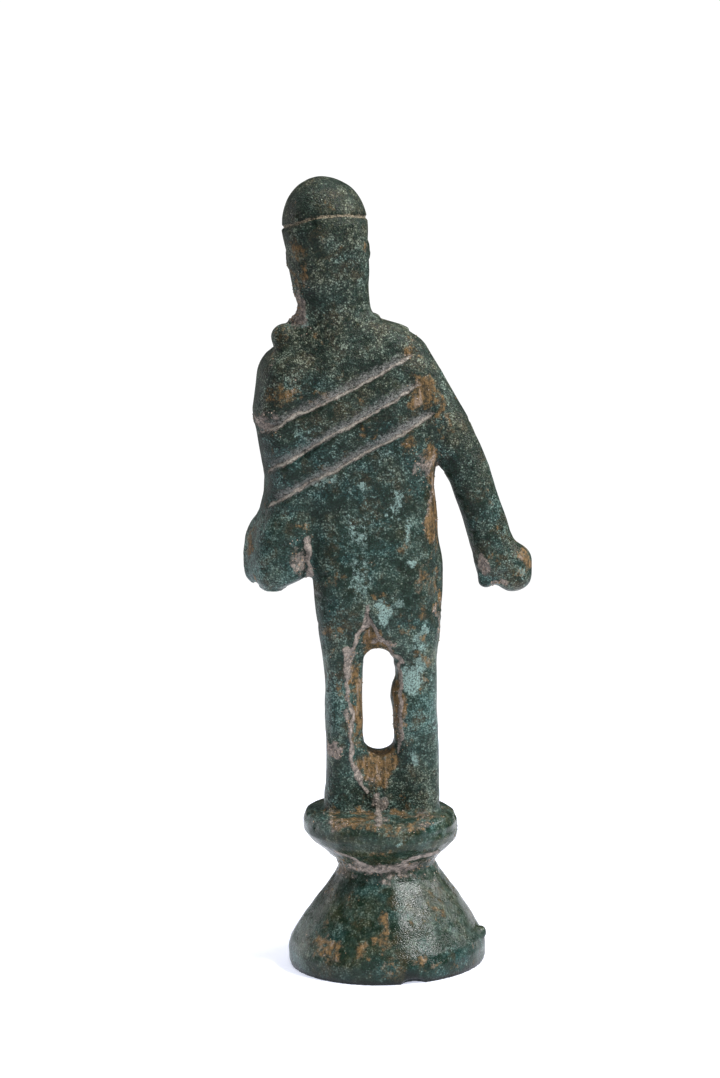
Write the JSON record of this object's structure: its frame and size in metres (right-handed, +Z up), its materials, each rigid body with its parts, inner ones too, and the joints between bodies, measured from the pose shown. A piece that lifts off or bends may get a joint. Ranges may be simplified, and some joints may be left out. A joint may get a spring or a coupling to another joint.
{
  "type": "bronze male figurine",
  "caption": "Small solid-cast standing man in a cap and short draped cloak, one arm bent under the cloth and the other hanging, cast in one with a waisted round base",
  "frame": {"origin": "centre of the round foot's underside", "axes": "+Z up through the figure, the figure faces +Y so its back is towards -Y, +X is its right side"},
  "size_m": [0.0292, 0.0204, 0.0801],
  "materials": {
    "bronze": "uneven green patina with earth deposits, satin"
  },
  "bodies": {
    "root": {"figure": "bronze"}
  },
  "joints": []
}
